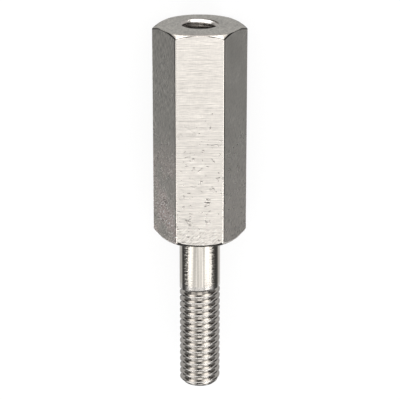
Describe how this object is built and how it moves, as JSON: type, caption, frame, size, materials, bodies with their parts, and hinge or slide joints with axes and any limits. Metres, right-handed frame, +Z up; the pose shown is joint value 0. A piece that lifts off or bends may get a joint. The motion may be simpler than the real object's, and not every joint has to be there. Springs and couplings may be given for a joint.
{
  "type": "hex standoff",
  "caption": "Stainless steel hex standoff with a tapped hole in one end and a part-threaded stud on the other, lying on a flat.",
  "frame": {"origin": "on the standoff's axis at the seat, the plane of the shoulder from which the stud stands out", "axes": "+Y along the axis out of the tapped hole, -Y out along the stud, +Z up and square to the flat that the standoff lies on, +X to the side towards one of the hexagon's corners"},
  "size_m": [0.011, 0.0445, 0.0096],
  "materials": {
    "steel": "bright drawn and turned stainless steel, finely brushed across the flats, polished on the shank, with small dings"
  },
  "bodies": {
    "root": {"standoff": "steel"}
  },
  "joints": []
}
